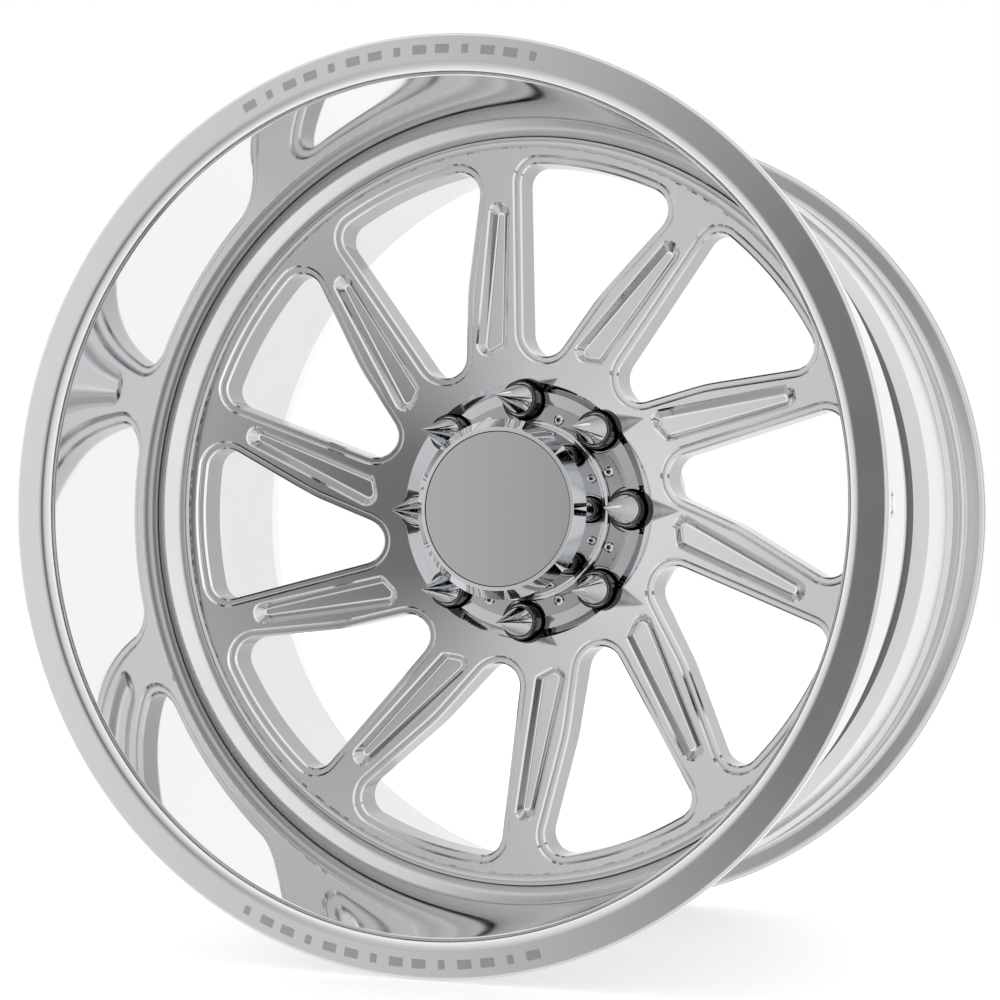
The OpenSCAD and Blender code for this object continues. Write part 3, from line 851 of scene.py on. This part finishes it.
def wheel_center():
    skin = Skin()
    front_holes, back_holes = [], []
    for k in range(WINDOWS):
        angle = math.tau * k / WINDOWS
        mouth, back = window_walls(skin, angle)
        front_holes += [mouth, pocket_walls(skin, angle)]
        back_holes.append(back)
    for k in range(LUGS):
        mouth, back = lug_walls(skin, math.tau * k / LUGS)
        front_holes.append(mouth)
        back_holes.append(back)
    for field, holes, inner_r, last_break in (
        (FRONT, front_holes, RELIEF_R, 120),
        (BACK, back_holes, BORE_R, 200),
    ):
        rings = [circle(r, HUB_SEGMENTS) for r in field.r if inner_r < r < last_break]
        hub = circle(inner_r, HUB_SEGMENTS)
        loose = spread(RECESS_R + 6, FACE_EDGE_R - 4, 7.0, holes + rings, 3.0)
        triangles = filled(circle(FACE_EDGE_R, RIM_SEGMENTS), [hub, *holes], rings, loose)
        middle = np.linalg.norm(triangles.mean(axis=1), axis=1)[:, None] * np.ones(3)
        skin.add(field.lifted(triangles), field.normals(triangles, middle), FACE if field is FRONT else REAR)
    # the outer edge, from the face round to the back
    front_z, back_z = face_height(FACE_EDGE_R), face_height(FACE_EDGE_R) - SPOKE_T
    lathe(skin, [
        (FACE_EDGE_R, front_z, 0),
        (CENTER_R, face_height(CENTER_R), 9),
        (CENTER_R, face_height(CENTER_R) - SPOKE_T, 0),
        (FACE_EDGE_R, back_z, 0),
    ], RIM_SEGMENTS, steps=10, closed=False, material=lambda r, z: SOFT if z > back_z + 8 else REAR)
    # the hub bore, from the recess down to the mounting face
    lathe(skin, [
        (BORE_R, 0, 0), (BORE_R, RELIEF_Z, 0), (RELIEF_R, RELIEF_Z, 0), (RELIEF_R, RECESS_Z, 0),
    ], HUB_SEGMENTS, closed=False, material=lambda r, z: WALL)
    materials = [face_metal, shaded_wall_metal, back_metal, highlight_edge_metal, shaded_window_metal, soft_metal]
    return piece("centre", skin, materials, "wheel", ["wheel_center"])


wheel_center()


def weld_bead():
    """Overlapping ripples round the joint at the back."""
    skin = Skin()
    back = face_height(CENTER_R) - SPOKE_T
    beads, per_bead = 150, 6
    columns = beads * per_bead
    angles = np.arange(columns) * math.tau / columns
    phase = (np.arange(columns) % per_bead) / per_bead
    swell = 0.75 + 0.25 * np.sqrt(np.clip(1 - (2 * phase - 1) ** 2, 0, 1))
    rows = []
    across = 7
    start, end = np.array([CENTER_R, back - 6.8]), np.array([CENTER_R - 6.4, back - 1.45])
    inner = np.array([CENTER_R, back - 0.3])
    for k in range(across + 1):
        t = k / across
        base = start + (end - start) * t
        shrink = 1 - 0.12 * (1 - swell) / 0.25 * math.sin(math.pi * t)
        r, z = inner[:, None] + np.outer(base - inner, shrink)
        rows.append(np.stack([r * np.cos(angles), r * np.sin(angles), z], axis=1))
    rows = np.array(rows)
    normals = grid_normals(rows)
    skin.grid(rows, normals * np.where(normals[..., 2:] > 0, -1, 1))
    return piece("weld", skin, [weld_metal], "wheel", ["weld_bead"])


weld_bead()


# ---- centre cap ----


def scalloped(radius, scallop, per_arc=24, per_scallop=18):
    """The flange's outline: a circle less a bite round each lug, counter-clockwise, with level normals."""
    reach = math.acos((LUG_CIRCLE_R**2 + radius**2 - scallop**2) / (2 * LUG_CIRCLE_R * radius))
    corner = np.array([radius * math.cos(reach), radius * math.sin(reach)]) - [LUG_CIRCLE_R, 0]
    half = math.atan2(corner[1], -corner[0])
    points, normals = [], []
    for k in range(LUGS):
        angle = math.tau * k / LUGS
        for a in np.linspace(half, -half, per_scallop)[::-1]:
            way = np.array([-math.cos(a), math.sin(a)])
            points.append(spun(np.array([LUG_CIRCLE_R, 0]) + scallop * way, angle))
            normals.append(spun(-way, angle))
        for a in np.linspace(reach, math.tau / LUGS - reach, per_arc):
            way = np.array([math.cos(a), math.sin(a)])
            points.append(spun(radius * way, angle))
            normals.append(spun(way, angle))
    return np.array(points), at_height(np.array(normals), 0.0)


def cap_flange():
    skin = Skin()
    edge = 0.8
    top_flat, level = scalloped(FLANGE_OF_CAP_R - edge, SCALLOP_R + edge)
    wall_flat, _ = scalloped(FLANGE_OF_CAP_R, SCALLOP_R)
    up = np.tile([0, 0, 1.0], (len(level), 1))
    wall_top = at_height(wall_flat, CAP_FLANGE_Z - edge)
    skin.strip(at_height(top_flat, CAP_FLANGE_Z), wall_top, up, level)
    skin.strip(wall_top, at_height(wall_flat, RECESS_Z), level, level)
    bore_r, spigot_r, spigot_z, segments = 60.0, 63.6, RECESS_Z - 10, 160
    skin.level(filled(top_flat, [circle(bore_r, segments)]), CAP_FLANGE_Z)
    skin.level(filled(wall_flat, [circle(spigot_r, segments)]), RECESS_Z, -1)
    lathe(skin, [
        (bore_r, CAP_FLANGE_Z, 0), (bore_r, spigot_z, 0), (spigot_r, spigot_z, 0.6), (spigot_r, RECESS_Z, 0),
    ], segments, steps=3, closed=False, up=-1)
    return piece("cap_flange_plate", skin, [shaded_plate_chrome], "wheel", ["cap_flange"])


cap_flange()


def cap_tower():
    skin = Skin()
    foot = CAP_FLANGE_Z + 1.2
    groove_r = DISC_R + 0.5

    def finish_of(r, z):
        # the groove beside the disc is black: painted shade
        return 1 if r < groove_r + 0.01 and CAP_FRONT_Z - 5.3 < z < CAP_FRONT_Z - 0.5 else 0

    lathe(skin, [
        (TOWER_R + 3, foot, 0.3), (TOWER_R + 2.6, foot + 2.6, 1.1), (TOWER_R, foot + 3.4, 0.8),
        (TOWER_R, CAP_FRONT_Z - 10, 0.3), (TOWER_R + 1, CAP_FRONT_Z - 9, 0.4),
        (DISC_R + 3.1, CAP_FRONT_Z, 0.8), (groove_r, CAP_FRONT_Z, 0.3),
        (groove_r, CAP_FRONT_Z - 5.2, 0), (DISC_R - 4, CAP_FRONT_Z - 5.2, 0),
        (DISC_R - 4, CAP_FRONT_Z - 9, 0), (TOWER_R - 5, CAP_FRONT_Z - 13, 1),
        (TOWER_R - 5, foot, 0),
    ], 180, steps=5, material=finish_of)
    return piece("cap_tower_tube", skin, [chrome, groove_shade_black], "wheel", ["cap_tower"])


cap_tower()


def cap_disc():
    skin = Skin()
    top = CAP_FRONT_Z - 0.4
    lathe(skin, [
        (0, top, 0), (DISC_R, top, 0.5), (DISC_R, CAP_FRONT_Z - 4, 0), (0, CAP_FRONT_Z - 4, 0),
    ], 160, steps=4, closed=False)
    return piece("cap_disc", skin, [brushed], "wheel", ["cap_face_disc"])


cap_disc()


def hexagon(apothem, per_side):
    """Points round a hexagon, evenly spaced in angle."""
    angles = np.arange(6 * per_side) * math.tau / (6 * per_side)
    off = (angles + math.pi / 6) % (math.pi / 3) - math.pi / 6
    return np.stack([np.cos(angles), np.sin(angles)], axis=1) * (apothem / np.cos(off))[:, None]


def screw_skin():
    """A button head with a hexagon socket, and the shank under it."""
    skin = Skin()
    count, per_side = 48, 8
    angles = np.arange(count) * math.tau / count
    head_z = CAP_FLANGE_Z + 0.05
    floor, mouth = hexagon(1.5, per_side), hexagon(1.62, per_side)
    socket_z = head_z + 1.0
    head_r, shank_r = 4.2, 2.5

    def row(r, z, n):
        ring = around([(r, z)], angles)[0]
        return ring, around([n], angles)[0]

    profile, _, after = trace([
        (1.9, head_z + 2.4, 0), (2.4, head_z + 2.3, 0.6), (3.6, head_z + 1.5, 1.6),
        (head_r, head_z + 0.5, 0.6), (head_r, head_z, 0),
    ], 3, closed=False)
    rows = [row(p[0], p[1], n) for p, n in zip(profile, left(after))]
    rim = at_height(mouth, head_z + 2.42)
    up = np.tile([0, 0, 1.0], (count, 1))
    skin.strip(rim, rows[0][0], up, rows[0][1])
    for a, b in zip(rows, rows[1:]):
        skin.strip(a[0], b[0], a[1], b[1])
    low, high = at_height(floor, socket_z), at_height(floor, head_z + 2.25)
    quads = quads_between(high, low)
    middle = quads.mean(axis=1)
    angle = (np.arctan2(middle[:, 1], middle[:, 0]) + math.pi / 6) % (math.tau)
    side = np.floor(angle / (math.pi / 3)) * math.pi / 3
    facing = -np.stack([np.cos(side), np.sin(side), 0 * side], axis=1)
    # the socket's walls and floor are black: painted shade
    skin.add(quads, np.repeat(facing[:, None], 4, axis=1), 1)
    skin.add(quads_between(rim, high), np.repeat((facing + [0, 0, 1.0])[:, None], 4, axis=1), 0)
    centre = np.tile([0, 0, socket_z - 0.3], (count, 1))
    skin.strip(low, centre, up, up, 1)
    lathe(skin, [
        (head_r, head_z, 0), (shank_r, head_z, 0), (shank_r, RECESS_Z - 14.0, 0.5), (0, RECESS_Z - 14.5, 0),
    ], count, closed=False)
    return skin


def cap_screws():
    skin = Skin()
    one = screw_skin()
    for k in range(LUGS):
        turn = Matrix.Rotation(math.tau * (k + 0.5) / LUGS, 4, "Z")
        out = Matrix.Translation((SCREW_CIRCLE_R, 0, 0))
        skin.join(one.placed(turn @ out @ Matrix.Rotation(0.4 * k, 4, "Z")))
    return piece("cap_screw_heads", skin, [chrome, groove_shade_black], "wheel", ["cap_screws"])


cap_screws()


# ---- lugs ----

WASHER_Z = (17.6, 33.6)
WASHER_BORE_R = 7.66
NUT_Z = (33.9, 71.0)
COLLAR_R = 14.2
COLLAR_T = 1.1
COLLAR_Z = (58.0, 77.5)
CONE_R = 11.6
CONE_Z = 79.0
TIP_Z = 127.3


def washer_skin():
    skin = Skin()
    rise = math.sqrt(3)
    tip_r = LUG_HOLE_R + 1.0 / rise
    lathe(skin, [
        (WASHER_BORE_R, WASHER_Z[0], 0), (tip_r, WASHER_Z[0], 0.2),
        (13.6, WASHER_Z[0] + (13.6 - tip_r) * rise, 0.6), (13.6, WASHER_Z[1] - 1, 0.3),
        (12.6, WASHER_Z[1], 0.3), (WASHER_BORE_R, WASHER_Z[1], 0),
    ], 64, steps=3)
    return skin


def nut_skin():
    """A hexagon with turned chamfers, a shank below, a neck above and a bore."""
    skin = Skin()
    apothem, per_side = 11.0, 10
    flat = hexagon(apothem, per_side)
    count = len(flat)
    cut = (np.linalg.norm(flat, axis=1) - apothem) * 0.75
    edge_r = apothem - 0.4
    turned_edge = circle(edge_r, count)
    low, high = at_height(flat, NUT_Z[0] + 0.3 + cut), at_height(flat, NUT_Z[1] - 0.3 - cut)
    skin.add(quads_between(low, high))
    out = at_height(unit_rows(flat), 0.0)
    for edge_row, z, way in ((high, NUT_Z[1], 1), (low, NUT_Z[0], -1)):
        slant = out * 0.6 + [0, 0, 0.8 * way]
        skin.strip(edge_row, at_height(turned_edge, z), slant, slant)
    neck_r, shank_r, thread_r = 5.9, 7.6, 6.25
    neck_z, shank_z = NUT_Z[1] + 5.5, WASHER_Z[0] + 2.0
    lathe(skin, [
        (edge_r, NUT_Z[1], 0), (neck_r, NUT_Z[1], 0.4), (neck_r, neck_z, 0.6), (0, neck_z, 0),
    ], count, closed=False, up=-1)
    lathe(skin, [
        (edge_r, NUT_Z[0], 0), (shank_r, NUT_Z[0], 0.4), (shank_r, shank_z, 0.8),
        (thread_r, shank_z, 0.5), (thread_r, WASHER_Z[0] + 42, 0), (0, WASHER_Z[0] + 43, 0),
    ], count, closed=False)
    return skin


def spike_skin():
    skin = Skin()

    def finish_of(r, z):
        # the collar is black: painted dark reflection
        return 1 if r > COLLAR_R - COLLAR_T - 0.1 and z > COLLAR_Z[0] + 1 else 0

    bore_r = COLLAR_R - COLLAR_T
    lathe(skin, [
        (0, NUT_Z[1] + 0.05, 0), (bore_r, NUT_Z[1] + 0.05, 0), (bore_r, COLLAR_Z[0], 0.2),
        (COLLAR_R, COLLAR_Z[0], 0.4), (COLLAR_R, COLLAR_Z[1], 0.5), (bore_r, COLLAR_Z[1], 0.5),
        (bore_r, CONE_Z - 5.8, 0.6), (CONE_R, CONE_Z - 5.8, 0.6), (CONE_R, CONE_Z - 1.6, 0.1),
        (CONE_R, CONE_Z, 2.2), (CONE_R * 0.62, CONE_Z + 17, 60), (0, TIP_Z, 0),
    ], 72, steps=6, closed=False, up=-1, material=finish_of)
    return skin


def lug_pieces():
    washer, nut, spike = washer_skin(), nut_skin(), spike_skin()
    for i in range(1, LUGS + 1):
        turn = Matrix.Rotation(math.tau * (i - 1) / LUGS, 4, "Z")
        place = turn @ Matrix.Translation((LUG_CIRCLE_R, 0, 0))
        for name, skin, materials, body, node, slot in (
            ("seat_washer", washer, [steel], "lug_washer", "lug_washer", "lug_washer_steel"),
            ("hex_nut", nut, [chrome], "lug_nut", "lug_nut", "lug_chrome"),
            ("spike", spike, [chrome, collar_reflection_black], "lug_nut", "lug_spike", "lug_chrome"),
        ):
            piece(f"{name}_{i}", skin, materials, f"{body}_{i}", [f"{node}_{i}"], place)


lug_pieces()


# ---- valve, drawn along its axis from the lip's wall towards the hub ----

AT_VALVE = Matrix.Translation((LIP_R, 0, VALVE_Z)) @ Matrix.Rotation(-math.pi / 2, 4, "Y")


def thread(crest_r, root_r, z0, z1, pitch):
    """The corners of a threaded length of profile, as rings of crest and root."""
    made = []
    z = z0
    while z + pitch <= z1:
        made += [(crest_r, z + 0.15 * pitch, 0), (root_r, z + 0.6 * pitch, 0)]
        z += pitch
    return made


def valve_pieces():
    head_top = -VALVE_WALL_T - 2.05
    stem = Skin()
    lathe(stem, [
        (0, head_top - 5, 0), (7, head_top - 5, 0.8), (9, head_top - 3.5, 0.8), (9, head_top, 0.3),
        (5, head_top, 0), (5, 2.0, 0), *thread(5.0, 4.6, 2.0, 7.4, 1.0), (5, 8, 0.3), (3.85, 9, 0),
        *thread(3.85, 3.5, 9.2, 17.4, 0.8), (3.7, 18, 0.2), (2.0, 18, 0), (2.0, -4, 0),
        (1.2, -4, 0), (1.2, head_top - 5, 0),
    ], 48, steps=3, closed=False, up=-1)
    piece("valve_stem_tube", stem, [brass_turned], "wheel", ["valve_stem"], AT_VALVE)

    washer = Skin()
    lathe(washer, [(5.05, 1.55, 0), (9.5, 1.55, 0.4), (9.5, 2.8, 0.4), (5.05, 2.8, 0.2)], 64, steps=3)
    piece("valve_flat_washer", washer, [chrome], "wheel", ["valve_washer"], AT_VALVE)

    nut = Skin()
    flat = hexagon(7.0, 8)
    count = len(flat)
    cut = (np.linalg.norm(flat, axis=1) - 7.0) * 0.6
    foot, top, bore_r = 2.85, 7.35, 5.05
    low, high = at_height(flat, foot), at_height(flat, 7.2 - cut)
    nut.add(quads_between(low, high))
    slant = at_height(unit_rows(flat) * 0.5, 0.85)
    nut.strip(high, at_height(circle(6.8, count), top), slant, slant)
    lathe(nut, [
        (6.8, top, 0), (5.4, top, 0), (bore_r, 7.0, 0), (bore_r, foot, 0),
    ], count, closed=False, up=-1)
    nut.level(filled(flat, [circle(bore_r, count)]), foot, -1)
    piece("valve_hex_nut", nut, [chrome], "wheel", ["valve_nut"], AT_VALVE)

    cap = Skin()
    count = 96
    angles = np.arange(count) * math.tau / count
    flute = np.clip(np.cos(angles * 12), 0, 1) ** 1.5 * 0.45

    def ring(r, z, depth):
        return at_height(circle(1, count) * (r - flute * depth)[:, None], z)

    profile = [
        (4.8, 9.3, 1), (5.2, 9.8, 1), (5.2, 16.4, 1), (5.2, 17.6, 0), (5.2, 18.4, 0), (4.9, 19.2, 0),
        (4.2, 20.4, 0), (3.6, 20.8, 0), (0.5, 21.0, 0), (0, 21.0, 0),
    ]
    rows = np.array([ring(*row) for row in profile])
    normals = grid_normals(rows)
    normals[-1] = [0, 0, 1]
    cap.grid(rows, normals)
    bore_r, ceiling = 3.93, 19.22
    lathe(cap, [(bore_r, ceiling, 0), (bore_r, 9.3, 0), (4.8, 9.3, 0)], count, closed=False, up=-1)
    lathe(cap, [(0, ceiling, 0), (bore_r, ceiling, 0)], count, closed=False, up=-1)
    piece("valve_dust_cap", cap, [chrome], "valve_cap", ["valve_cap"], AT_VALVE)


valve_pieces()

# ---- CAD nodes that are shown as they are ----

SHOWN_NODES = {
    "cap_disc_seal": rubber_black,
    "cap_base_seal": rubber_black,
    "valve_inner_grommet": rubber_black,
    "valve_outer_grommet": rubber_black,
    "valve_cap_seal": rubber_black,
    "valve_core_body": brass,
    "valve_core_pin": brass,
    "valve_core_spring": spring,
}
for name, material in SHOWN_NODES.items():
    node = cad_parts[name]
    node.data.materials.clear()
    node.data.materials.append(material)

# ---- studio ----


# The grey that the card fades out to
STUDIO_TONE = 0.88
# The card's dark oval ends this far to each side, in metres, and is this much flatter than it is wide
CARD_OVAL = 1.96
CARD_FLATNESS = 0.48
# The oval's greys, as (share of the way out, tone)
CARD_TONES = [
    (0, 0.17), (0.1, 0.2), (0.2, 0.38), (0.3, 0.53), (0.42, 0.66), (0.55, 0.7), (0.72, 0.82),
    (1, STUDIO_TONE),
]
# What the metal sees round the studio, as (Y of the direction, tone): the dark bands draw the rounded edges
BANDS = [
    (-0.60, 0.88), (-0.56, 0.25), (-0.48, 0.25), (-0.42, 1.03), (0.40, 1.03), (0.46, 0.3), (0.58, 0.3),
    (0.66, 0.9), (0.78, 1.1), (1.00, 1.15),
]


def flat_square(name, corners, material):
    mesh = bpy.data.meshes.new(name)
    mesh.from_pydata(corners, [], [(0, 1, 2, 3)])
    mesh.materials.append(material)
    square = bpy.data.objects.new(name, mesh)
    bpy.context.scene.collection.objects.link(square)
    return square


def grey_ramp(tree, source, tones):
    """Greys along a 0 to 1 value, as (value, grey) pairs."""
    ramp = add_node(tree, "ValToRGB", {0: source})
    while len(ramp.color_ramp.elements) < len(tones):
        ramp.color_ramp.elements.new(0.5)
    for element, (at, tone) in zip(ramp.color_ramp.elements, tones):
        element.position = at
        element.color = (tone, tone, tone, 1)
    return ramp.outputs[0]


def dark_card():
    """A soft dark oval on a wide card in front, seen only in the polished metal."""
    material = bpy.data.materials.new("studio_card")
    material.use_nodes = True
    tree = material.node_tree
    tree.nodes.clear()
    mapping = add_node(tree, "Mapping", {
        "Vector": add_node(tree, "TexCoord").outputs["Object"],
        "Location": (-0.15, 0, 0.055),
        "Scale": (CARD_OVAL, 1, CARD_OVAL / CARD_FLATNESS),
    }, vector_type="TEXTURE")
    level = add_node(tree, "VectorMath", {0: mapping.outputs[0], 1: (1, 0, 1)}, operation="MULTIPLY")
    length = add_node(tree, "VectorMath", {0: level.outputs[0]}, operation="LENGTH")
    glow = add_node(tree, "Emission", {"Color": grey_ramp(tree, length.outputs["Value"], CARD_TONES)})
    add_node(tree, "OutputMaterial", {"Surface": glow.outputs[0]})
    y, half = -2.25, 4.0
    corners = [(-half, y, -half), (half, y, -half), (half, y, half), (-half, y, half)]
    card = flat_square("card", corners, material)
    card.visible_camera = False
    card.visible_diffuse = False
    card.visible_shadow = False


def pale_floor():
    half, z = 8.0, -FLANGE_R * MM - 0.0003
    paint = Paint("pale_floor", (0.94, 0.94, 0.94), 0.0, 0.6)
    paint.set(Emission_Strength=0.4, Emission_Color=(1, 1, 1, 1))
    corners = [(-half, -half, z), (half, -half, z), (half, half, z), (-half, half, z)]
    flat_square("floor", corners, paint.material).visible_glossy = False


def studio_light():
    """The bands all round, and plain white behind the object."""
    world = bpy.data.worlds.new("studio")
    bpy.context.scene.world = world
    world.use_nodes = True
    tree = world.node_tree
    split = add_node(tree, "SeparateXYZ", {0: add_node(tree, "TexCoord").outputs["Generated"]})
    along = add_node(tree, "MapRange", {"Value": split.outputs["Y"], "From Min": -1})
    top = max(tone for _, tone in BANDS)
    bands = grey_ramp(tree, along.outputs["Result"], [((y + 1) / 2, tone / top) for y, tone in BANDS])
    brighter = add_node(tree, "VectorMath", {0: bands, "Scale": top}, operation="SCALE")
    direct = add_node(tree, "LightPath").outputs["Is Camera Ray"]
    mix = add_node(tree, "Mix", {"Factor": direct, 6: brighter.outputs[0], 7: (1, 1, 1, 1)}, data_type="RGBA")
    tree.links.new(mix.outputs[2], tree.nodes["Background"].inputs["Color"])


def camera():
    """Where the photograph was taken from, how it was aimed and with what lens."""
    scene = bpy.context.scene
    made = bpy.data.objects.new("camera", bpy.data.cameras.new("camera"))
    made.data.lens = 78.48
    made.data.sensor_width = 36
    right = Vector((0.9293, 0.3692, 0)).normalized()
    ahead = Vector((-0.36906, 0.92896, 0.02705)).normalized()
    up = right.cross(ahead)
    aim = Matrix((right, up, -ahead)).transposed().to_4x4()
    made.matrix_world = Matrix.Translation((0.60059, -1.62866, -0.03729)) @ aim
    scene.collection.objects.link(made)
    scene.camera = made


bpy.context.scene.view_settings.view_transform = "Standard"
pale_floor()
dark_card()
studio_light()
camera()
